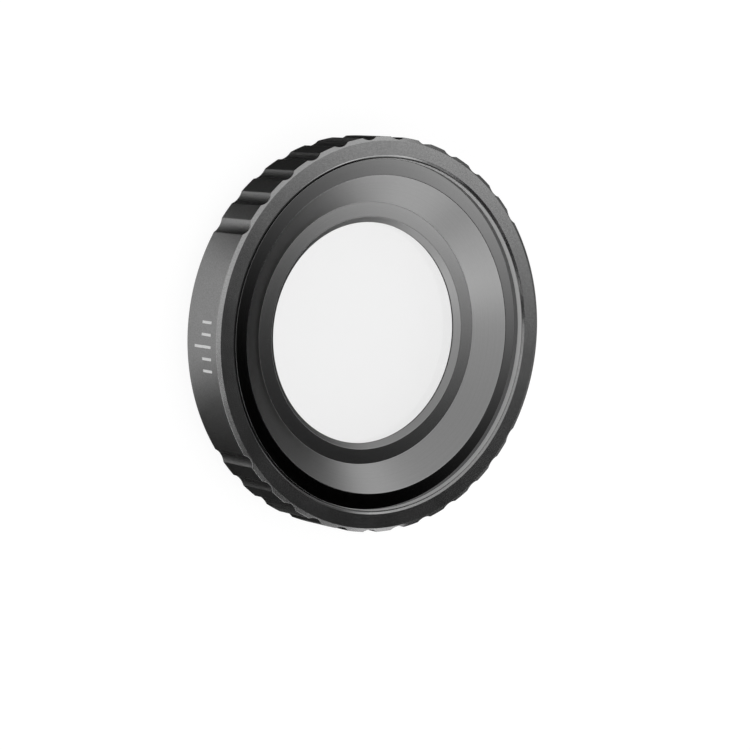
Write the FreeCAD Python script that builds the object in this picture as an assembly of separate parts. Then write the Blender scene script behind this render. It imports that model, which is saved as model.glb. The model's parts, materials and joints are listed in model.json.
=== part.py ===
import FreeCAD, Part
import math
import os

# Screw-on lens filter for an action camera, in millimetres.
# The optical axis is Z, the front looks up, and the filter lies on the end of its threaded spigot at z = 0.
# Radii build up from the clear aperture outwards, depths count down from the front rim.

# Glass and the ring that holds it
aperture_radius = 11.24
aperture_chamfer = 0.60
glass_overlap = 2.20
glass_thickness = 1.10
glass_edge_chamfer = 0.10
glass_clearance = 0.05
gasket_thickness = 0.20
gasket_width = 2.14
retainer_step = 0.60
retainer_width = 1.50
retainer_thickness = 0.70
retainer_clearance = 0.03
retainer_thread_run = 0.20
spanner_slot_width = 1.00
spanner_slot_depth = 0.35

# Front bezel: aperture ledge, cone, glossy ledge and the thin lip inside the rim
aperture_ledge_width = 1.53
cone_run = 2.76
cone_drop = 2.10
ledge_width = 1.62
ledge_depth = 0.67
ledge_edge_break = 0.02
lip_draft = 0.05
lip_top_width = 0.04
lip_drop = 0.03
lip_height = 0.38
bezel_clearance = 0.04
bezel_flange_thickness = 1.60
bezel_tail_wall = 0.89
bezel_tail_overhang = 0.08

# Grip ring: front rim, fluted wall and seat face
rim_width = 2.12
rim_break_width = 0.28
rim_break_depth = 0.18
grip_height = 5.60
grip_chamfer_width = 0.40
grip_chamfer_height = 0.19

# Flutes in two groups, with a plain land on each side between them
flute_radius = 1.40
flute_depth = 0.28
flute_pitch_deg = 10.0
flutes_per_group = 12
flute_group_angles_deg = (90.0, 270.0)

# Threaded spigot that enters the camera, and the seal round its neck
spigot_length = 2.20
spigot_wall = 1.10
spigot_edge_break = 0.15
recess_step = 0.40
thread_length = 1.70
thread_lead_chamfer = 0.30
neck_undercut = 0.35
seal_width = 1.20
seal_groove_depth = 0.50
seal_proud = 0.35
seal_bevel_width = 0.35
seal_bevel_height = 0.25
seal_clearance = 0.05

# Radii from the aperture outwards, at the front
aperture_ledge_inner = aperture_radius + aperture_chamfer
cone_foot_radius = aperture_ledge_inner + aperture_ledge_width
ledge_inner_radius = cone_foot_radius + cone_run
lip_foot_radius = ledge_inner_radius + ledge_width
lip_top_radius = lip_foot_radius + lip_draft
bezel_radius = lip_top_radius + lip_top_width
rim_bore_radius = bezel_radius + bezel_clearance
grip_radius = rim_bore_radius + rim_width

# Radii from the aperture outwards, at the rear
glass_radius = aperture_radius + glass_overlap
glass_pocket_radius = glass_radius + glass_clearance
retainer_radius = glass_radius + retainer_step
retainer_bore_radius = retainer_radius + retainer_clearance
bezel_tail_radius = retainer_bore_radius + bezel_tail_wall
tail_bore_radius = bezel_tail_radius + bezel_clearance
recess_radius = tail_bore_radius + recess_step
thread_radius = recess_radius + spigot_wall
neck_radius = thread_radius - neck_undercut
seal_inner_radius = neck_radius + seal_clearance
seal_outer_radius = seal_inner_radius + seal_width
seal_groove_radius = seal_outer_radius + seal_clearance

# Heights, from the spigot's end up to the rim and from the rim down to the glass
seat_z = spigot_length
rim_z = seat_z + grip_height
seal_groove_z = seat_z + seal_groove_depth
lip_top_z = rim_z - lip_drop
lip_foot_z = lip_top_z - lip_height
ledge_z = rim_z - ledge_depth
shoulder_z = ledge_z - bezel_flange_thickness
cone_foot_z = ledge_z - cone_drop
glass_seat_z = cone_foot_z - aperture_chamfer
glass_front_z = glass_seat_z - gasket_thickness
glass_rear_z = glass_front_z - glass_thickness
retainer_rear_z = glass_rear_z - retainer_thickness
bezel_tail_z = retainer_rear_z - bezel_tail_overhang

ORIGIN = FreeCAD.Vector(0, 0, 0)
AXIS = FreeCAD.Vector(0, 0, 1)


def turned(points):
    """The solid that a closed profile of (radius, z) corners sweeps round the optical axis."""
    corners = [FreeCAD.Vector(radius, 0, z) for radius, z in points]
    outline = Part.makePolygon(corners + corners[:1])
    return Part.Face(outline).revolve(ORIGIN, AXIS, 360)


def flute_cutters():
    """Upright round cutters of both flute groups, standing just outside the wall."""
    cutters = []
    centre_distance = grip_radius - flute_depth + flute_radius
    group_span_deg = flute_pitch_deg * (flutes_per_group - 1)
    for group_angle_deg in flute_group_angles_deg:
        for index in range(flutes_per_group):
            angle = math.radians(group_angle_deg - group_span_deg / 2 + index * flute_pitch_deg)
            x = centre_distance * math.cos(angle)
            y = centre_distance * math.sin(angle)
            cutters.append(Part.makeCylinder(flute_radius, grip_height, FreeCAD.Vector(x, y, seat_z)))
    return cutters


def grip_ring():
    """The turned body: rim, fluted wall, seat face with its seal groove, and the threaded spigot."""
    body = turned([
        (recess_radius, spigot_edge_break),
        (recess_radius + spigot_edge_break, 0),
        (thread_radius - thread_lead_chamfer, 0),
        (thread_radius, thread_lead_chamfer),
        (thread_radius, thread_length),
        (neck_radius, thread_length),
        (neck_radius, seal_groove_z),
        (seal_groove_radius, seal_groove_z),
        (seal_groove_radius, seat_z),
        (grip_radius - grip_chamfer_width, seat_z),
        (grip_radius, seat_z + grip_chamfer_height),
        (grip_radius, rim_z - grip_chamfer_height),
        (grip_radius - grip_chamfer_width, rim_z),
        (rim_bore_radius + rim_break_width, rim_z),
        (rim_bore_radius, rim_z - rim_break_depth),
        (rim_bore_radius, shoulder_z),
        (tail_bore_radius, shoulder_z),
        (tail_bore_radius, seat_z),
        (recess_radius, seat_z),
    ])
    return body.cut(flute_cutters())


def front_bezel():
    """The dish inside the rim: lip, ledge, cone and aperture in front, the glass pocket and its thread behind."""
    return turned([
        (bezel_radius, shoulder_z),
        (bezel_radius, lip_top_z),
        (lip_top_radius, lip_top_z),
        (lip_foot_radius, lip_foot_z),
        (lip_foot_radius, ledge_z),
        (ledge_inner_radius + ledge_edge_break, ledge_z),
        (ledge_inner_radius - ledge_edge_break, ledge_z - ledge_edge_break),
        (cone_foot_radius, cone_foot_z),
        (aperture_ledge_inner, cone_foot_z),
        (aperture_radius, glass_seat_z),
        (glass_pocket_radius, glass_seat_z),
        (glass_pocket_radius, glass_rear_z + retainer_thread_run),
        (retainer_bore_radius, glass_rear_z + retainer_thread_run),
        (retainer_bore_radius, bezel_tail_z),
        (bezel_tail_radius, bezel_tail_z),
        (bezel_tail_radius, shoulder_z),
    ])


def filter_glass():
    """The flat glass disc, with both rims ground to a small chamfer."""
    return turned([
        (0, glass_rear_z),
        (glass_radius - glass_edge_chamfer, glass_rear_z),
        (glass_radius, glass_rear_z + glass_edge_chamfer),
        (glass_radius, glass_front_z - glass_edge_chamfer),
        (glass_radius - glass_edge_chamfer, glass_front_z),
        (0, glass_front_z),
    ])


def glass_gasket():
    """The flat ring between the glass and the back of the aperture ledge."""
    return turned([
        (glass_radius - gasket_width, glass_front_z),
        (glass_radius, glass_front_z),
        (glass_radius, glass_seat_z),
        (glass_radius - gasket_width, glass_seat_z),
    ])


def retaining_ring():
    """The ring screwed in behind the glass, with two slots across its rear face for a spanner."""
    ring = turned([
        (retainer_radius - retainer_width, retainer_rear_z),
        (retainer_radius, retainer_rear_z),
        (retainer_radius, glass_rear_z),
        (retainer_radius - retainer_width, glass_rear_z),
    ])
    slot = Part.makeBox(
        2 * retainer_bore_radius,
        spanner_slot_width,
        spanner_slot_depth,
        FreeCAD.Vector(-retainer_bore_radius, -spanner_slot_width / 2, retainer_rear_z),
    )
    return ring.cut(slot)


def mount_seal():
    """The moulded seal in the seat face's groove, with a bevelled crown that the camera presses flat."""
    crown_z = seat_z - seal_proud
    side_z = crown_z + seal_bevel_height
    return turned([
        (seal_inner_radius, seal_groove_z),
        (seal_inner_radius, side_z),
        (seal_inner_radius + seal_bevel_width, crown_z),
        (seal_outer_radius - seal_bevel_width, crown_z),
        (seal_outer_radius, side_z),
        (seal_outer_radius, seal_groove_z),
    ])


PIECES = {
    "grip_ring": grip_ring,
    "front_bezel": front_bezel,
    "filter_glass": filter_glass,
    "glass_gasket": glass_gasket,
    "retaining_ring": retaining_ring,
    "mount_seal": mount_seal,
}

os.makedirs("parts", exist_ok=True)
for name, make in PIECES.items():
    make().exportStep(os.path.join("parts", name + ".step"))
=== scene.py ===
import json
import math

import bmesh
import bpy
from mathutils import Matrix, Vector


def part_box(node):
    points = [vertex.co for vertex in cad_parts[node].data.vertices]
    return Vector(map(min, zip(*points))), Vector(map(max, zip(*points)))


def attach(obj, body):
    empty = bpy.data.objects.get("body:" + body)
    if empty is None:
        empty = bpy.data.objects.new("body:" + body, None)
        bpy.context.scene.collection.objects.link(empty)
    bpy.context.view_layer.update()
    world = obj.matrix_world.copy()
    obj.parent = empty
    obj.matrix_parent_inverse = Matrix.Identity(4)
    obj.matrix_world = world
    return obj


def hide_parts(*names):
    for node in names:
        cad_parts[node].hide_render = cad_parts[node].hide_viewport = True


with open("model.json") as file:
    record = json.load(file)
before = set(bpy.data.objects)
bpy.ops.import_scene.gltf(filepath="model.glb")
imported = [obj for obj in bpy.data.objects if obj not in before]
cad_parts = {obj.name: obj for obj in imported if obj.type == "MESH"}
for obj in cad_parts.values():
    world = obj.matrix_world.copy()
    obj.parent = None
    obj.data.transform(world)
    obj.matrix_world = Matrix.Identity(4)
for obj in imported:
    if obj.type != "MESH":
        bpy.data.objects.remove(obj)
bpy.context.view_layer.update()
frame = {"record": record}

# Lengths are written in millimetres and angles in degrees; meshes are in metres
MM = 0.001


def turned_size(node):
    """Outer radius, lowest and highest z of a turned node, in millimetres."""
    low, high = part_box(node)
    return high.x / MM, low.z / MM, high.z / MM


# Sizes that the solids and the mounts give
grip_radius, spigot_end_z, rim_z = turned_size("grip_ring")
bezel_radius, bezel_tail_z, lip_top_z = turned_size("front_bezel")
glass_radius, glass_rear_z, glass_front_z = turned_size("filter_glass")
gasket_radius, gasket_rear_z, glass_seat_z = turned_size("glass_gasket")
retainer_radius, retainer_rear_z, retainer_front_z = turned_size("retaining_ring")
seal_radius, seal_crown_z, seal_groove_z = turned_size("mount_seal")
mounts = {mount["name"]: mount for mount in frame["record"]["mounts"]}
thread_radius = mounts["thread_spigot"]["dims"]["r_mm"]
recess_radius = mounts["lens_recess"]["dims"]["r_mm"]
seat_z = mounts["seat_face"]["pos_m"][2] / MM

# Grip ring
rim_break_width = 0.28
rim_break_depth = 0.18
grip_chamfer_width = 0.40
grip_chamfer_height = 0.19
fit_clearance = 0.04
shoulder_z = 5.53
tail_bore_radius = 15.00
spigot_edge_break = 0.15
thread_lead_chamfer = 0.30
thread_top_z = 1.70
neck_radius = 16.15
seal_groove_radius = 17.45

# Flutes
flute_radius = 1.40
flute_depth = 0.28
flute_pitch = 10.0
flutes_per_group = 12
flute_groups = (90.0, 270.0)
flute_edge_half_break = 0.08
flute_edge_margin = 0.25

# Fine thread of the spigot
thread_pitch = 0.50
thread_depth = 0.22
thread_rows_per_turn = 10
thread_crest_cut = 0.25

# Front bezel
aperture_radius = 11.24
aperture_chamfer = 0.60
cone_foot_radius = 13.37
cone_foot_z = 5.03
ledge_inner_radius = 16.13
ledge_z = 7.13
ledge_edge_break = 0.02
lip_foot_radius = 17.75
lip_foot_z = 7.39
lip_top_radius = 17.80
retainer_bore_radius = 14.07
retainer_thread_z = 3.33
glass_pocket_radius = 13.49
bezel_tail_radius = 14.96

# Glass, gasket, retaining ring and seal
glass_edge_chamfer = 0.10
gasket_width = 2.14
retainer_width = 1.50
spanner_slot_width = 1.00
spanner_slot_depth = 0.35
slot_edge_margin = 0.03
slot_clear_angle = 4.0
seal_width = 1.20
seal_bevel_width = 0.35
seal_bevel_height = 0.25

# Painted index scale on the plain land that faces -X
index_middle_angle = 180.3
index_spacing = 1.20
index_lengths = (1.60, 1.60, 2.85, 1.60, 1.60)
index_stroke = 0.28
index_depth_from_rim = 1.20
index_proud = 0.010
index_sunk = 0.030

# Broken edges of the turned pieces
crisp_edge = 0.015
fine_edge = 0.03
soft_edge = 0.05
seal_crown_edge = 0.40
arc_steps = 3
arc_most_share = 0.45
support_inset = 0.02
support_share = 0.04

# Steps of the meshes, and the distance under which points are merged
bezel_columns = 512
glass_columns = 256
gasket_columns = 256
seal_columns = 360
steps_in_flute = 10
steps_on_land = 3
steps_on_plain_land = 60
steps_of_half_retainer = 120
steps_of_index_stroke = 4
merge_distance = 0.0001

# Camera, as far as the photograph's perspective gives it
camera_position = (-159.57, 26.98, 226.11)
camera_aim = (-1.20, -3.92, 7.80)
camera_lens = 129.47
camera_sensor = 36.0
camera_clip_start = 10.0
camera_clip_end = 10000.0


# Meshes

def eased(before, corners, after):
    """Points of (radius, z, edge radius) corners between two neighbours, with each corner a short curve.

    A point just off each end of a curve keeps the straight stretches flat under smooth shading.
    """
    points = []
    chain = [before, *corners, after]
    for previous, (radius, z, edge), following in zip(chain, corners, chain[2:]):
        here = Vector((radius, z))
        back = Vector(previous[:2]) - here
        ahead = Vector(following[:2]) - here
        half_turn = (math.pi - back.angle(ahead)) / 2
        reach = min(edge * math.tan(half_turn), arc_most_share * back.length, arc_most_share * ahead.length)
        start = here + back.normalized() * reach
        end = here + ahead.normalized() * reach
        points.append(start + back.normalized() * min(support_inset, support_share * back.length))
        for step in range(arc_steps + 1):
            share = step / arc_steps
            points.append(start.lerp(here, share).lerp(here.lerp(end, share), share))
        points.append(end + ahead.normalized() * min(support_inset, support_share * ahead.length))
    return points


def rounded(corners):
    """A closed profile with eased corners."""
    return eased(corners[-1], corners, corners[0])


def upright(profile, angle):
    """A profile's points in the half-plane at that angle round the optical axis."""
    turn = math.radians(angle)
    return [(radius * math.cos(turn), radius * math.sin(turn), z) for radius, z in profile]


def skin(name, columns, capped=False):
    """A closed mesh through upright rows of points that follow each other round the optical axis.

    Each row is a closed loop, or, where capped, an open one between a flat cap below and one above.
    """
    rows = len(columns[0])
    vertices = [Vector(point) * MM for column in columns for point in column]
    faces = []
    for column in range(len(columns)):
        following = (column + 1) % len(columns)
        for row in range(rows - 1 if capped else rows):
            above = (row + 1) % rows
            faces.append((
                column * rows + row,
                following * rows + row,
                following * rows + above,
                column * rows + above,
            ))
    if capped:
        faces.append(tuple(range(0, len(vertices), rows)))
        faces.append(tuple(range(rows - 1, len(vertices), rows)))
    mesh = bpy.data.meshes.new(name)
    mesh.from_pydata(vertices, [], faces)
    return finished_piece(name, mesh)


def finished_piece(name, mesh):
    """The object of a closed mesh: doubled points merged, faces outward and smooth."""
    work = bmesh.new()
    work.from_mesh(mesh)
    bmesh.ops.remove_doubles(work, verts=work.verts, dist=merge_distance * MM)
    bmesh.ops.dissolve_degenerate(work, edges=work.edges, dist=merge_distance * MM)
    bmesh.ops.recalc_face_normals(work, faces=work.faces)
    for face in work.faces:
        face.smooth = True
    work.to_mesh(mesh)
    work.free()
    piece = bpy.data.objects.new(name, mesh)
    bpy.context.scene.collection.objects.link(piece)
    return piece


def even_angles(count):
    """Angles all round at even steps."""
    return [360.0 * index / count for index in range(count)]


def turned(name, corners, count):
    """A piece turned from one profile."""
    profile = rounded(corners)
    return skin(name, [upright(profile, angle) for angle in even_angles(count)])


# Grip ring

def flute_angles():
    """The angle of every flute's middle."""
    first = -flute_pitch * (flutes_per_group - 1) / 2
    return [
        group + first + index * flute_pitch
        for group in flute_groups
        for index in range(flutes_per_group)
    ]


def flute_half_angle():
    """The angle from a flute's middle to the edge where it leaves the wall."""
    middle = grip_radius - flute_depth + flute_radius
    cosine = (middle ** 2 + grip_radius ** 2 - flute_radius ** 2) / (2 * middle * grip_radius)
    return math.degrees(math.acos(cosine))


def wall_radius(offset):
    """The wall's radius at an angle off a flute's middle."""
    middle = grip_radius - flute_depth + flute_radius
    aside = middle * math.sin(math.radians(offset))
    if abs(aside) >= flute_radius:
        return grip_radius
    along = middle * math.cos(math.radians(offset))
    return min(grip_radius, along - math.sqrt(flute_radius ** 2 - aside ** 2))


def stepped(start, end, steps):
    """Even steps between two angles, with one more close to each end."""
    even = [start + (end - start) * step / steps for step in range(steps + 1)]
    return [start, start + flute_edge_margin, *even[1:-1], end - flute_edge_margin, end]


def grip_columns():
    """Angles of the grip ring's columns with the wall's radius there, close together at the flutes' edges."""
    half = flute_half_angle()
    inner = half - flute_edge_half_break
    offsets = stepped(-inner, inner, steps_in_flute)
    columns = []
    middles = flute_angles()
    for middle, following in zip(middles, middles[1:] + middles[:1]):
        columns.extend((middle + offset, wall_radius(offset)) for offset in offsets)
        start = middle + half + flute_edge_half_break
        end = following - half - flute_edge_half_break
        if end < start:
            end += 360
        steps = steps_on_land if end - start < flute_pitch else steps_on_plain_land
        columns.extend((angle, grip_radius) for angle in stepped(start, end, steps))
    return columns


def thread_rows(angle):
    """The spigot's thread at that angle, from its lead chamfer up to its run-out."""
    rows = []
    length = thread_top_z - thread_lead_chamfer
    count = round(length / thread_pitch * thread_rows_per_turn)
    for row in range(1, count):
        z = thread_lead_chamfer + length * row / count
        phase = (z / thread_pitch - angle / 360) % 1
        valley = 1 - abs(2 * phase - 1)
        cut = max(0, (1 + thread_crest_cut) * valley - thread_crest_cut)
        fade = min(1, (z - thread_lead_chamfer) / thread_pitch, (thread_top_z - z) / thread_pitch)
        rows.append(Vector((thread_radius - thread_depth * cut * fade, z)))
    return rows


def grip_ring():
    """The ring's rim, fluted wall, seat face and threaded spigot."""
    chamfer_foot = grip_radius - grip_chamfer_width
    chamfer_slope = grip_chamfer_height / grip_chamfer_width
    rim_bore_radius = bezel_radius + fit_clearance
    thread_start = (thread_radius, thread_lead_chamfer, fine_edge)
    thread_end = (thread_radius, thread_top_z, fine_edge)
    shoulder = (rim_bore_radius, shoulder_z, fine_edge)
    rear_corners = [
        (tail_bore_radius, shoulder_z, fine_edge),
        (tail_bore_radius, seat_z, fine_edge),
        (recess_radius, seat_z, fine_edge),
        (recess_radius, spigot_edge_break, fine_edge),
        (recess_radius + spigot_edge_break, spigot_end_z, fine_edge),
        (thread_radius - thread_lead_chamfer, spigot_end_z, fine_edge),
        thread_start,
    ]
    rear = eased(shoulder, rear_corners, thread_end)
    columns = []
    for angle, wall in grip_columns():
        chamfer_drop = (wall - chamfer_foot) * chamfer_slope
        front = eased(thread_start, [
            thread_end,
            (neck_radius, thread_top_z, fine_edge),
            (neck_radius, seal_groove_z, fine_edge),
            (seal_groove_radius, seal_groove_z, fine_edge),
            (seal_groove_radius, seat_z, soft_edge),
            (chamfer_foot, seat_z, fine_edge),
            (wall, seat_z + chamfer_drop, fine_edge),
            (wall, rim_z - chamfer_drop, fine_edge),
            (chamfer_foot, rim_z, fine_edge),
            (rim_bore_radius + rim_break_width, rim_z, fine_edge),
            (rim_bore_radius, rim_z - rim_break_depth, fine_edge),
            shoulder,
        ], rear_corners[0])
        columns.append(upright(rear + thread_rows(angle) + front, angle))
    piece = skin("fluted_grip_ring", columns)
    return placed(piece, "grip_ring", blasted_metal())


# Front bezel

def front_bezel():
    """The dish inside the rim, with the glass pocket behind it."""
    piece = turned("glossy_front_bezel", [
        (bezel_radius, shoulder_z, fine_edge),
        (bezel_radius, lip_top_z, crisp_edge),
        (lip_top_radius, lip_top_z, crisp_edge),
        (lip_foot_radius, lip_foot_z, crisp_edge),
        (lip_foot_radius, ledge_z, crisp_edge),
        (ledge_inner_radius + ledge_edge_break, ledge_z, soft_edge),
        (ledge_inner_radius - ledge_edge_break, ledge_z - ledge_edge_break, soft_edge),
        (cone_foot_radius, cone_foot_z, soft_edge),
        (aperture_radius + aperture_chamfer, cone_foot_z, soft_edge),
        (aperture_radius, glass_seat_z, fine_edge),
        (glass_pocket_radius, glass_seat_z, fine_edge),
        (glass_pocket_radius, retainer_thread_z, fine_edge),
        (retainer_bore_radius, retainer_thread_z, fine_edge),
        (retainer_bore_radius, bezel_tail_z, fine_edge),
        (bezel_tail_radius, bezel_tail_z, fine_edge),
        (bezel_tail_radius, shoulder_z, fine_edge),
    ], bezel_columns)
    return placed(piece, "front_bezel", glossy_metal())


# Glass and what holds it

def filter_glass():
    """The flat disc with its ground edge."""
    profile = eased((0, glass_rear_z), [
        (glass_radius - glass_edge_chamfer, glass_rear_z, crisp_edge),
        (glass_radius, glass_rear_z + glass_edge_chamfer, crisp_edge),
        (glass_radius, glass_front_z - glass_edge_chamfer, crisp_edge),
        (glass_radius - glass_edge_chamfer, glass_front_z, crisp_edge),
    ], (0, glass_front_z))
    columns = [upright(profile, angle) for angle in even_angles(glass_columns)]
    piece = skin("clear_filter_glass", columns, capped=True)
    return placed(piece, "filter_glass", coated_glass())


def glass_gasket():
    """The flat ring in front of the glass."""
    piece = turned("flat_glass_gasket", [
        (gasket_radius - gasket_width, gasket_rear_z, crisp_edge),
        (gasket_radius, gasket_rear_z, crisp_edge),
        (gasket_radius, glass_seat_z, crisp_edge),
        (gasket_radius - gasket_width, glass_seat_z, crisp_edge),
    ], gasket_columns)
    return placed(piece, "glass_gasket", moulded_rubber())


def retaining_ring():
    """The ring behind the glass, with two spanner slots across its rear face."""
    inner = retainer_radius - retainer_width
    plain = rounded([
        (inner, retainer_rear_z, fine_edge),
        (retainer_radius, retainer_rear_z, fine_edge),
        (retainer_radius, retainer_front_z, fine_edge),
        (inner, retainer_front_z, fine_edge),
    ])
    slotted = rounded([
        (inner, retainer_rear_z + spanner_slot_depth, fine_edge),
        (retainer_radius, retainer_rear_z + spanner_slot_depth, fine_edge),
        (retainer_radius, retainer_front_z, fine_edge),
        (inner, retainer_front_z, fine_edge),
    ])
    half_slot = spanner_slot_width / 2
    span = 180 - 2 * slot_clear_angle
    columns = []
    for side in (1, -1):
        start = 0 if side == 1 else 180
        for across in (-half_slot, slot_edge_margin - half_slot, half_slot - slot_edge_margin, half_slot):
            columns.append(beside_slot(slotted, side, across))
        columns.append(beside_slot(plain, side, half_slot))
        columns.append(beside_slot(plain, side, half_slot + slot_edge_margin))
        for step in range(steps_of_half_retainer + 1):
            turn = span * step / steps_of_half_retainer
            columns.append(upright(plain, start + slot_clear_angle + turn))
        columns.append(beside_slot(plain, -side, -half_slot - slot_edge_margin))
        columns.append(beside_slot(plain, -side, -half_slot))
    piece = skin("slotted_retaining_ring", columns)
    return placed(piece, "retaining_ring", satin_metal())


def beside_slot(profile, side, across):
    """A profile's points at a distance from the slots' middle line, on the +X (1) or the -X (-1) side."""
    y = side * across
    return [(side * math.sqrt(radius ** 2 - y ** 2), y, z) for radius, z in profile]


def mount_seal():
    """The moulded seal that stands a little proud of the seat face."""
    piece = turned("moulded_mount_seal", [
        (seal_radius - seal_width, seal_groove_z, fine_edge),
        (seal_radius - seal_width, seal_crown_z + seal_bevel_height, soft_edge),
        (seal_radius - seal_width + seal_bevel_width, seal_crown_z, seal_crown_edge),
        (seal_radius - seal_bevel_width, seal_crown_z, seal_crown_edge),
        (seal_radius, seal_crown_z + seal_bevel_height, soft_edge),
        (seal_radius, seal_groove_z, fine_edge),
    ], seal_columns)
    return placed(piece, "mount_seal", moulded_rubber())


# Painted index scale

def index_scale():
    """Short painted strokes on the plain land, the middle one longer."""
    paint = white_paint()
    middle = (len(index_lengths) - 1) / 2
    for number, length in enumerate(index_lengths):
        along = (number - middle) * index_spacing
        angle = index_middle_angle + math.degrees(along / grip_radius)
        half = math.degrees(index_stroke / 2 / grip_radius)
        top = rim_z - index_depth_from_rim
        profile = rounded([
            (grip_radius - index_sunk, top - length, 0),
            (grip_radius + index_proud, top - length, crisp_edge),
            (grip_radius + index_proud, top, crisp_edge),
            (grip_radius - index_sunk, top, 0),
        ])
        stroke = stroke_piece("index_stroke_%d" % (number + 1), profile, angle - half, angle + half)
        stroke.data.materials.append(paint)
        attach(stroke, "root")


def stroke_piece(name, profile, start, end):
    """A closed bar on the wall between two angles."""
    steps = steps_of_index_stroke
    rows = len(profile)
    vertices = []
    faces = []
    for step in range(steps + 1):
        angle = start + (end - start) * step / steps
        vertices.extend(Vector(point) * MM for point in upright(profile, angle))
    for step in range(steps):
        for row in range(rows):
            above = (row + 1) % rows
            faces.append((
                step * rows + row,
                (step + 1) * rows + row,
                (step + 1) * rows + above,
                step * rows + above,
            ))
    faces.append(tuple(range(rows)))
    faces.append(tuple(steps * rows + row for row in reversed(range(rows))))
    mesh = bpy.data.meshes.new(name)
    mesh.from_pydata(vertices, [], faces)
    return finished_piece(name, mesh)


def placed(piece, node, material):
    """A piece that stands for a CAD node, with its material."""
    piece.data.materials.append(material)
    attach(piece, "root")
    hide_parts(node)
    return piece


# Materials

# Noise mostly stays between these two values
noise_low = 0.3
noise_high = 0.7


class Nodes:
    """A material's node tree with short ways to add and link nodes."""

    def __init__(self, tree):
        self.tree = tree
        tree.nodes.clear()

    def add(self, kind, **settings):
        node = self.tree.nodes.new(kind)
        for name, value in settings.items():
            setattr(node, name, value)
        return node

    def link(self, source, target):
        self.tree.links.new(source, target)

    def value(self, socket, source):
        """Sets a socket to a number or links it to another node's output."""
        if isinstance(source, bpy.types.NodeSocket):
            self.link(source, socket)
        else:
            socket.default_value = source

    def math(self, operation, first, second=0.0, third=0.0):
        node = self.add("ShaderNodeMath", operation=operation)
        for socket, source in zip(node.inputs, (first, second, third)):
            self.value(socket, source)
        return node.outputs[0]

    def ramp(self, source, low, high, to_low=0.0, to_high=1.0):
        """A smooth step of a value from low to high."""
        node = self.add("ShaderNodeMapRange", interpolation_type="SMOOTHSTEP")
        for name, number in (("From Min", low), ("From Max", high), ("To Min", to_low), ("To Max", to_high)):
            node.inputs[name].default_value = number
        self.link(source, node.inputs["Value"])
        return node.outputs["Result"]

    def spread(self, noise, ends):
        """A noise value stretched between two numbers."""
        return self.ramp(noise, noise_low, noise_high, *ends)

    def border(self, value, place, fade, falls=False):
        """A mask that rises, or falls, from a little before a border to a little after it."""
        before, after = fade
        ends = (1.0, 0.0) if falls else (0.0, 1.0)
        return self.ramp(value, place - before, place + after, *ends)

    def both(self, first, second):
        """A mask that holds where two masks do."""
        return self.math("MULTIPLY", first, second)

    def mix(self, share, first, second):
        """A mix of two shaders, from the first at a share of 0 to the second at 1."""
        node = self.add("ShaderNodeMixShader")
        self.link(share, node.inputs[0])
        self.link(first.outputs[0], node.inputs[1])
        self.link(second.outputs[0], node.inputs[2])
        return node

    def blend(self, value, zones):
        """A number that changes to another one in each zone, in turn, by the zone's mask."""
        for mask, number in zones:
            mix = self.add("ShaderNodeMix")
            self.link(mask, mix.inputs["Factor"])
            self.value(mix.inputs["A"], value)
            mix.inputs["B"].default_value = number
            value = mix.outputs["Result"]
        return value

    def grey(self, source):
        """A grey colour from a value."""
        node = self.add("ShaderNodeCombineColor")
        for socket in node.inputs:
            self.link(source, socket)
        return node.outputs[0]

    def point(self):
        """The surface point in millimetres, as x, y and z."""
        place = self.add("ShaderNodeTexCoord").outputs["Object"]
        scaled = self.add("ShaderNodeVectorMath", operation="SCALE")
        scaled.inputs["Scale"].default_value = 1 / MM
        self.link(place, scaled.inputs[0])
        split = self.add("ShaderNodeSeparateXYZ")
        self.link(scaled.outputs[0], split.inputs[0])
        return scaled.outputs[0], split.outputs

    def radius(self, parts):
        """The distance from the optical axis."""
        squares = self.math("ADD", self.math("POWER", parts[0], 2.0), self.math("POWER", parts[1], 2.0))
        return self.math("SQRT", squares)

    def noise(self, place, scale, detail=2.0, roughness=0.5):
        node = self.add("ShaderNodeTexNoise")
        node.inputs["Scale"].default_value = scale
        node.inputs["Detail"].default_value = detail
        node.inputs["Roughness"].default_value = roughness
        self.link(place, node.inputs["Vector"])
        return node.outputs[0]

    def lines(self, value, scale, detail=2.0):
        """Noise along one value, such as turning lines by radius."""
        node = self.add("ShaderNodeTexNoise", noise_dimensions="1D")
        node.inputs["Scale"].default_value = scale
        node.inputs["Detail"].default_value = detail
        self.link(value, node.inputs["W"])
        return node.outputs[0]

    def bump(self, height, strength, distance):
        """A bump whose height of 1 is a distance in millimetres."""
        node = self.add("ShaderNodeBump")
        node.inputs["Strength"].default_value = strength
        node.inputs["Distance"].default_value = distance * MM
        self.link(height, node.inputs["Height"])
        return node.outputs[0]


def new_material(name):
    """A material with its nodes cleared, a Principled shader and its output."""
    material = bpy.data.materials.new(name)
    material.use_nodes = True
    nodes = Nodes(material.node_tree)
    shader = nodes.add("ShaderNodeBsdfPrincipled")
    output = nodes.add("ShaderNodeOutputMaterial")
    nodes.link(shader.outputs[0], output.inputs["Surface"])
    return material, nodes, shader, output


# Black anodised metal shows next to nothing at a glancing angle
EDGE_TINT = (0.0, 0.0, 0.0, 1.0)

# Finishes: scales count noise per millimetre, ranges go with the noise, bumps are a strength and a height

# Blasted finish of the grip ring
blasted_grain_scale = 7.0
blasted_patch_scale = 0.35
blasted_tone = (0.24, 0.30)
blasted_roughness = (0.21, 0.25)
blasted_bump = (0.35, 0.012)
blasted_metallic = 0.95
# The outer chamfer is a little lighter all round, by an uneven amount
chamfer_lift_tone = 0.07
chamfer_lift_spread = (0.85, 1.0)
inner_break_roughness = 0.10
wall_extra_roughness = 0.07

# How far a finish fades before and after its border
outer_edge_fade = (0.04, 0.02)
inner_break_fade = (0.02, 0.03)
edge_foot_fade = (0.04, 0.0)
wall_fade = 0.1


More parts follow.
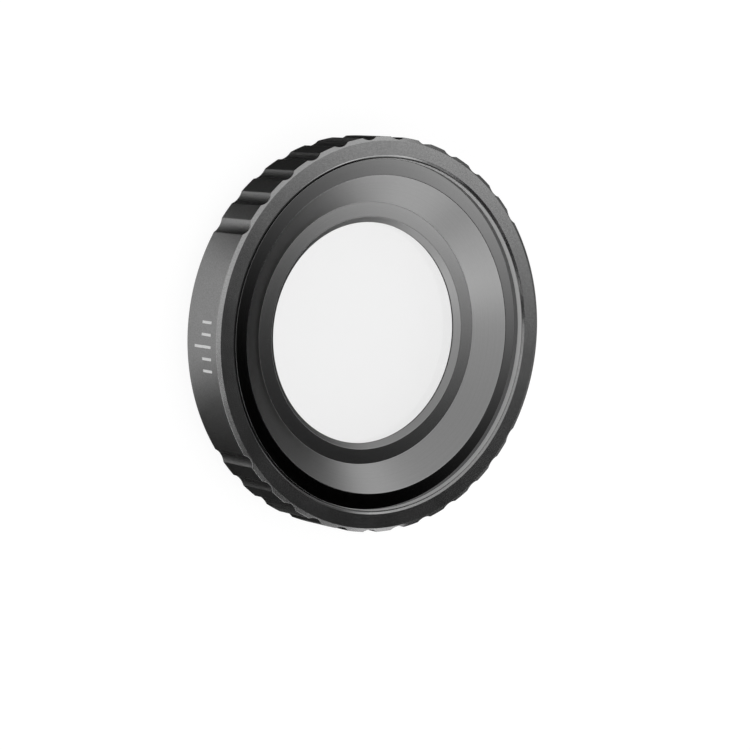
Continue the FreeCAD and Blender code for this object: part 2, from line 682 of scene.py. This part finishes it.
def blasted_metal():
    """Black anodised aluminium, bead blasted: a little lighter on the rim's outer chamfer, smooth on its
    inner break.
    """
    material, nodes, shader, _ = new_material("blasted_anodised")
    place, parts = nodes.point()
    radius = nodes.radius(parts)
    height = parts[2]
    grain = nodes.noise(place, blasted_grain_scale, detail=3.0, roughness=0.6)
    patches = nodes.noise(place, blasted_patch_scale)
    wall_top = rim_z - grip_chamfer_height
    outer_edge = nodes.both(
        nodes.border(radius, grip_radius - grip_chamfer_width, outer_edge_fade),
        nodes.border(height, wall_top, edge_foot_fade),
    )
    inner_break = nodes.both(
        nodes.border(radius, bezel_radius + fit_clearance + rim_break_width, inner_break_fade, falls=True),
        nodes.border(height, rim_z - rim_break_depth, edge_foot_fade),
    )
    chamfer_lift = nodes.math("MULTIPLY", outer_edge, chamfer_lift_tone)
    lift_spread = nodes.spread(patches, chamfer_lift_spread)
    tone = nodes.math("MULTIPLY_ADD", chamfer_lift, lift_spread, nodes.spread(grain, blasted_tone))
    nodes.link(nodes.grey(tone), shader.inputs["Base Color"])
    below_rim = nodes.ramp(height, wall_top - wall_fade, wall_top, wall_extra_roughness, 0.0)
    roughness = nodes.math("ADD", nodes.spread(patches, blasted_roughness), below_rim)
    roughness = nodes.blend(roughness, ((inner_break, inner_break_roughness),))
    nodes.link(roughness, shader.inputs["Roughness"])
    nodes.link(nodes.bump(grain, *blasted_bump), shader.inputs["Normal"])
    shader.inputs["Metallic"].default_value = blasted_metallic
    shader.inputs["Specular Tint"].default_value = EDGE_TINT
    return material


# Glossy finish of the front bezel, zone by zone, with a painted highlight on the lip
gloss_line_scale = 9.0
gloss_grain_scale = 4.0
gloss_line_tone = (0.96, 1.02)
gloss_grain_tone = (0.0, 0.02)
gloss_line_roughness = (0.92, 1.08)
gloss_bump = (0.05, 0.002)
gloss_tone = 0.245
aperture_ledge_tone = 0.47
ledge_tone = 0.27
# Painted highlight: the lip is matt light grey, standing in for the bright line of its cut facet
lip_painted_highlight_tone = 0.45
gloss_roughness = 0.38
aperture_ledge_roughness = 0.20
cone_roughness = 0.33
ledge_roughness = 0.07
lip_roughness = 0.50

# How far a zone fades before and after its border
aperture_ledge_fade = (0.03, 0.03)
cone_foot_fade = (0.05, 0.05)
ledge_fade = (0.1, 0.1)
lip_top_fade = (0.01, 0.0)
lip_foot_fade = (-0.01, 0.03)


def glossy_metal():
    """Black anodised aluminium turned smooth: a mirror ledge, a silky cone, a lip painted light grey as a
    highlight.
    """
    material, nodes, shader, _ = new_material("gloss_anodised")
    place, parts = nodes.point()
    radius = nodes.radius(parts)
    lines = nodes.lines(radius, gloss_line_scale, detail=3.0)
    grain = nodes.noise(place, gloss_grain_scale)
    on_aperture_ledge = nodes.both(
        nodes.border(radius, aperture_radius + aperture_chamfer, aperture_ledge_fade),
        nodes.border(radius, cone_foot_radius, cone_foot_fade, falls=True),
    )
    on_cone = nodes.border(radius, cone_foot_radius, cone_foot_fade)
    on_ledge = nodes.border(radius, ledge_inner_radius, ledge_fade)
    on_lip = nodes.both(
        nodes.border(radius, lip_top_radius, lip_top_fade, falls=True),
        nodes.border(parts[2], ledge_z, lip_foot_fade),
    )
    # The lip's light grey tone is a painted highlight; with no metal there it shows matt
    tone = nodes.blend(gloss_tone, (
        (on_aperture_ledge, aperture_ledge_tone),
        (on_ledge, ledge_tone),
        (on_lip, lip_painted_highlight_tone),
    ))
    uneven = nodes.math("ADD", nodes.spread(lines, gloss_line_tone), nodes.spread(grain, gloss_grain_tone))
    nodes.link(nodes.grey(nodes.math("MULTIPLY", tone, uneven)), shader.inputs["Base Color"])
    roughness = nodes.blend(gloss_roughness, (
        (on_aperture_ledge, aperture_ledge_roughness),
        (on_cone, cone_roughness),
        (on_ledge, ledge_roughness),
        (on_lip, lip_roughness),
    ))
    roughness = nodes.math("MULTIPLY", roughness, nodes.spread(lines, gloss_line_roughness))
    nodes.link(roughness, shader.inputs["Roughness"])
    nodes.link(nodes.bump(lines, *gloss_bump), shader.inputs["Normal"])
    nodes.link(nodes.math("SUBTRACT", 1.0, on_lip), shader.inputs["Metallic"])
    shader.inputs["Specular Tint"].default_value = EDGE_TINT
    return material


# Satin finish of the retaining ring
satin_line_scale = 12.0
satin_grain_scale = 6.0
satin_tone = (0.16, 0.22)
satin_roughness = (0.30, 0.40)
satin_bump = (0.3, 0.01)


def satin_metal():
    """Black anodised aluminium with plain turning lines."""
    material, nodes, shader, _ = new_material("satin_anodised")
    place, parts = nodes.point()
    lines = nodes.lines(nodes.radius(parts), satin_line_scale, detail=4.0)
    grain = nodes.noise(place, satin_grain_scale)
    nodes.link(nodes.grey(nodes.spread(lines, satin_tone)), shader.inputs["Base Color"])
    nodes.link(nodes.spread(grain, satin_roughness), shader.inputs["Roughness"])
    nodes.link(nodes.bump(lines, *satin_bump), shader.inputs["Normal"])
    shader.inputs["Metallic"].default_value = 1.0
    shader.inputs["Specular Tint"].default_value = EDGE_TINT
    return material


# Silicone of the gasket and the seal
rubber_grain_scale = 9.0
rubber_patch_scale = 0.8
rubber_tone = (0.014, 0.024)
rubber_roughness = (0.55, 0.7)
rubber_bump = (0.3, 0.01)
rubber_specular = 0.4


def moulded_rubber():
    """Matt black silicone with a fine moulded texture."""
    material, nodes, shader, _ = new_material("silicone")
    place, _ = nodes.point()
    grain = nodes.noise(place, rubber_grain_scale, detail=3.0)
    patches = nodes.noise(place, rubber_patch_scale)
    nodes.link(nodes.grey(nodes.spread(patches, rubber_tone)), shader.inputs["Base Color"])
    nodes.link(nodes.spread(grain, rubber_roughness), shader.inputs["Roughness"])
    nodes.link(nodes.bump(grain, *rubber_bump), shader.inputs["Normal"])
    shader.inputs["Specular IOR Level"].default_value = rubber_specular
    return material


# Glass with faint wiping marks
glass_tint = (0.95, 0.95, 0.95, 1.0)
glass_ior = 1.5
glass_mark_scale = 0.25
glass_mark_range = (0.45, 0.75)
glass_mark_roughness = (0.0, 0.012)


def coated_glass():
    """Clear optical glass with faint wiping marks in its coating; lamps shine through it."""
    material, nodes, shader, output = new_material("optical_glass")
    place, _ = nodes.point()
    marks = nodes.noise(place, glass_mark_scale, detail=4.0)
    roughness = nodes.ramp(marks, *glass_mark_range, *glass_mark_roughness)
    nodes.link(roughness, shader.inputs["Roughness"])
    shader.inputs["Base Color"].default_value = glass_tint
    shader.inputs["Transmission Weight"].default_value = 1.0
    shader.inputs["IOR"].default_value = glass_ior
    clear = nodes.add("ShaderNodeBsdfTransparent")
    rays = nodes.add("ShaderNodeLightPath")
    surface = nodes.mix(rays.outputs["Is Shadow Ray"], shader, clear)
    nodes.link(surface.outputs[0], output.inputs["Surface"])
    return material


# Marking paint of the index scale
paint_grain_scale = 6.0
paint_tone = (0.86, 0.92)
paint_roughness = (0.45, 0.6)
paint_bump = (0.3, 0.01)


def white_paint():
    """White marking paint, a little uneven."""
    material, nodes, shader, _ = new_material("marking_paint")
    place, _ = nodes.point()
    grain = nodes.noise(place, paint_grain_scale, detail=3.0)
    nodes.link(nodes.grey(nodes.spread(grain, paint_tone)), shader.inputs["Base Color"])
    nodes.link(nodes.spread(grain, paint_roughness), shader.inputs["Roughness"])
    nodes.link(nodes.bump(grain, *paint_bump), shader.inputs["Normal"])
    return material


# Stage: floor, surroundings, the cards that shade the metal, and the camera

floor_radius = 3000.0
floor_drop = 0.005
floor_glow = 0.885
floor_colour = (0.16, 0.16, 0.16, 1.0)


def stage_nodes(name, mesh):
    """The cleared nodes of a new material on a mesh of the stage, with their output."""
    material = bpy.data.materials.new(name)
    material.use_nodes = True
    mesh.materials.append(material)
    nodes = Nodes(material.node_tree)
    return nodes, nodes.add("ShaderNodeOutputMaterial")


def seen_directly(nodes):
    """1 for rays from the camera and for rays that metal or glass sends on."""
    rays = nodes.add("ShaderNodeLightPath")
    either = nodes.math("MAXIMUM", rays.outputs["Is Camera Ray"], rays.outputs["Is Glossy Ray"])
    return nodes.math("MAXIMUM", either, rays.outputs["Is Transmission Ray"])


def floor():
    """A pale floor that looks white and keeps the object's soft shadow; from below it is clear."""
    mesh = bpy.data.meshes.new("floor")
    reach = floor_radius * MM
    level = (spigot_end_z - floor_drop) * MM
    corners = [(-reach, -reach, level), (reach, -reach, level), (reach, reach, level), (-reach, reach, level)]
    mesh.from_pydata(corners, [], [(0, 1, 2, 3)])
    piece = bpy.data.objects.new("floor", mesh)
    bpy.context.scene.collection.objects.link(piece)
    nodes, output = stage_nodes("floor", mesh)
    surface = nodes.add("ShaderNodeBsdfDiffuse")
    surface.inputs["Color"].default_value = floor_colour
    glow = nodes.add("ShaderNodeEmission")
    nodes.link(nodes.math("MULTIPLY", seen_directly(nodes), floor_glow), glow.inputs["Strength"])
    lit = nodes.add("ShaderNodeAddShader")
    nodes.link(surface.outputs[0], lit.inputs[0])
    nodes.link(glow.outputs[0], lit.inputs[1])
    clear = nodes.add("ShaderNodeBsdfTransparent")
    side = nodes.add("ShaderNodeNewGeometry")
    sides = nodes.mix(side.outputs["Backfacing"], lit, clear)
    nodes.link(sides.outputs[0], output.inputs["Surface"])


def direction(azimuth, elevation):
    """A unit vector; azimuth counts from +X towards +Y."""
    turn = math.radians(azimuth)
    rise = math.radians(elevation)
    return Vector((math.cos(turn) * math.cos(rise), math.sin(turn) * math.cos(rise), math.sin(rise)))


# Dome with lights and dark patches: azimuth, elevation, half widths at full and at no strength, level added
dome_level = 1.28
dome_least = 0.03
backdrop_level = 1.0
dome_lights = (
    (-135.0, 48.0, 0.0, 38.0, 0.35),
    (-144.0, 47.0, 0.0, 16.0, 1.10),
    (-120.0, 38.0, 0.0, 22.0, 1.05),
    (-76.0, 17.0, 0.0, 30.0, 1.20),
    (-44.0, 3.0, 0.0, 16.0, 1.20),
    (50.0, 16.0, 0.0, 17.0, 0.85),
)
dome_dark_patches = (
    (105.0, 42.0, 0.0, 45.0, -0.22),
    (-165.0, 68.0, 3.0, 14.0, -0.50),
    (-150.0, 62.5, 3.0, 8.5, -1.50),
    (-122.0, 58.0, 6.0, 11.0, -2.10),
    (-103.0, 53.5, 8.0, 13.0, -2.00),
    (-84.0, 45.0, 8.0, 14.0, -1.90),
    (-66.0, 34.5, 6.0, 12.0, -1.70),
    (-23.0, 8.0, 4.0, 8.0, -0.90),
    (-8.0, 7.0, 12.0, 22.0, -1.30),
    (20.0, 22.0, 13.0, 23.0, -1.10),
)


def surroundings():
    """A pale dome with soft lights and dark patches, plain white to the camera and through the glass."""
    world = bpy.data.worlds.new("surroundings")
    world.use_nodes = True
    bpy.context.scene.world = world
    nodes = Nodes(world.node_tree)
    ray = nodes.add("ShaderNodeTexCoord").outputs["Generated"]
    level = dome_level
    for azimuth, elevation, inner, outer, added in dome_lights + dome_dark_patches:
        dot = nodes.add("ShaderNodeVectorMath", operation="DOT_PRODUCT")
        nodes.link(ray, dot.inputs[0])
        dot.inputs[1].default_value = direction(azimuth, elevation)
        edges = math.cos(math.radians(outer)), math.cos(math.radians(inner))
        lobe = nodes.ramp(dot.outputs["Value"], *edges, 0.0, added)
        level = nodes.math("ADD", lobe, level)
    rays = nodes.add("ShaderNodeLightPath")
    straight = nodes.math("MAXIMUM", rays.outputs["Is Camera Ray"], rays.outputs["Is Transmission Ray"])
    strength = nodes.blend(nodes.math("MAXIMUM", level, dome_least), ((straight, backdrop_level),))
    background = nodes.add("ShaderNodeBackground")
    nodes.link(strength, background.inputs["Strength"])
    output = nodes.add("ShaderNodeOutputWorld")
    nodes.link(background.outputs[0], output.inputs["Surface"])


def only_in_reflections(piece):
    """A card that shows in reflections only: not to the camera, to the floor or through the glass."""
    piece.visible_camera = False
    piece.visible_transmission = False
    piece.visible_diffuse = False
    piece.visible_shadow = False
    piece.visible_volume_scatter = False


# Overhead card that the flat faces show: dark on one side, bright on the other
card_height = 100.0
card_reach = 85.0
card_fade = 16.0
card_sides = 64
card_bright_angle = 54.0
card_outer_bright_angle = 72.0
card_turn_width = 1.5
card_brightness = 0.97
card_dark_share = 1.0
card_falloff = 3.3
card_outer_falloff = 4.0
card_most = 1.25


def round_card(name, middle):
    """A flat round card with a soft border; gives its nodes, the point on it in its plane, and its glow."""
    outer = card_reach + card_fade
    turns = [math.radians(angle) for angle in even_angles(card_sides)]
    border = [(outer * math.cos(turn) * MM, outer * math.sin(turn) * MM, 0) for turn in turns]
    mesh = bpy.data.meshes.new(name)
    mesh.from_pydata(border, [], [tuple(range(card_sides))])
    piece = bpy.data.objects.new(name, mesh)
    piece.location = middle * MM
    bpy.context.scene.collection.objects.link(piece)
    nodes, output = stage_nodes(name, mesh)
    _, parts = nodes.point()
    glow = nodes.add("ShaderNodeEmission")
    clear = nodes.add("ShaderNodeBsdfTransparent")
    surface = nodes.mix(nodes.ramp(nodes.radius(parts), card_reach, outer), glow, clear)
    nodes.link(surface.outputs[0], output.inputs["Surface"])
    only_in_reflections(piece)
    return nodes, parts, glow


def overhead_card():
    """A card above the flats' mirror direction, with a brightness that rises across it."""
    position = Vector(camera_position)
    share = card_height / (position.z - ledge_z)
    middle = Vector((-position.x * share, -position.y * share, ledge_z + card_height))
    spread = (1 + share) * lip_foot_radius
    nodes, parts, glow = round_card("overhead_card", middle)
    outer = nodes.ramp(nodes.radius(parts), spread, spread + 2 * card_turn_width)
    bright = nodes.blend(math.radians(card_bright_angle), ((outer, math.radians(card_outer_bright_angle)),))
    along_x = nodes.math("MULTIPLY", parts[0], nodes.math("COSINE", bright))
    along_y = nodes.math("MULTIPLY", parts[1], nodes.math("SINE", bright))
    across = nodes.math("DIVIDE", nodes.math("ADD", along_x, along_y), spread)
    lifted = nodes.math("DIVIDE", nodes.math("ADD", across, card_dark_share), 1 + card_dark_share)
    falloff = nodes.blend(card_falloff, ((outer, card_outer_falloff),))
    level = nodes.math("POWER", nodes.math("MAXIMUM", lifted, 0.0), falloff)
    capped = nodes.math("MINIMUM", level, card_most)
    nodes.link(nodes.math("MULTIPLY", capped, card_brightness), glow.inputs["Strength"])


def black_card(name, vertices, faces):
    """A dead black card that shows in reflections only."""
    mesh = bpy.data.meshes.new(name)
    mesh.from_pydata([Vector(vertex) * MM for vertex in vertices], [], faces)
    piece = bpy.data.objects.new(name, mesh)
    bpy.context.scene.collection.objects.link(piece)
    nodes, output = stage_nodes(name, mesh)
    shader = nodes.add("ShaderNodeBsdfPrincipled")
    shader.inputs["Base Color"].default_value = (0.0, 0.0, 0.0, 1.0)
    shader.inputs["Specular IOR Level"].default_value = 0.0
    nodes.link(shader.outputs[0], output.inputs["Surface"])
    only_in_reflections(piece)
    return piece


# Thin upright fins on the floor: the wall shows white floor along them and black fins across them
fin_turn = -10.0
fin_pitch = 0.25
fin_height = 0.325
fin_reach = 45.0
fin_clearance = 0.3
fin_free_half = 5.5
fin_full_half = 12.0


def floor_fins():
    """Black fins on both sides of a free strip of floor, growing to full height away from it."""
    vertices = []
    faces = []
    near = grip_radius + fin_clearance
    count = int(fin_reach / fin_pitch)
    for number in range(-count, count + 1):
        y = number * fin_pitch
        if abs(y) <= fin_free_half:
            continue
        inner = math.sqrt(near ** 2 - y ** 2) if abs(y) < near else 0.0
        height = fin_height * min(1.0, (abs(y) - fin_free_half) / (fin_full_half - fin_free_half))
        for side in (-1, 1):
            first = len(vertices)
            for x, z in ((inner, 0), (fin_reach, 0), (fin_reach, height), (inner, height)):
                vertices.append((side * x, y, z))
            faces.append((first, first + 1, first + 2, first + 3))
    piece = black_card("floor_fins", vertices, faces)
    piece.rotation_euler = (0, 0, math.radians(fin_turn))


# Dark flag beside the lower right of the rim, which the outer chamfer shows there
flag_distance = 4.0
flag_from = -76.0
flag_to = -39.0
flag_steps = 12
flag_clearance = 0.1
flag_height_from = 2.7
flag_height_to = 1.0


def edge_flag():
    """A narrow black strip, bent round the axis and standing just above the rim's level."""
    reach = grip_radius + flag_distance
    foot = rim_z + flag_clearance
    vertices = []
    for step in range(flag_steps + 1):
        share = step / flag_steps
        angle = math.radians(flag_from + share * (flag_to - flag_from))
        x = reach * math.cos(angle)
        y = reach * math.sin(angle)
        height = flag_height_from + share * (flag_height_to - flag_height_from)
        vertices += [(x, y, foot), (x, y, foot + height)]
    faces = [(2 * step, 2 * step + 2, 2 * step + 3, 2 * step + 1) for step in range(flag_steps)]
    black_card("edge_flag", vertices, faces)


def camera():
    """The photograph's view, with +Y up in the picture."""
    position = Vector(camera_position) * MM
    back = (position - Vector(camera_aim) * MM).normalized()
    right = Vector((0, 1, 0)).cross(back).normalized()
    up = back.cross(right)
    data = bpy.data.cameras.new("camera")
    data.lens = camera_lens
    data.sensor_width = camera_sensor
    data.clip_start = camera_clip_start * MM
    data.clip_end = camera_clip_end * MM
    piece = bpy.data.objects.new("camera", data)
    piece.matrix_world = Matrix.Translation(position) @ Matrix((right, up, back)).transposed().to_4x4()
    bpy.context.scene.collection.objects.link(piece)
    bpy.context.scene.camera = piece


grip_ring()
front_bezel()
filter_glass()
glass_gasket()
retaining_ring()
mount_seal()
index_scale()
floor()
surroundings()
overhead_card()
floor_fins()
edge_flag()
camera()

bpy.context.scene.view_settings.view_transform = "Standard"
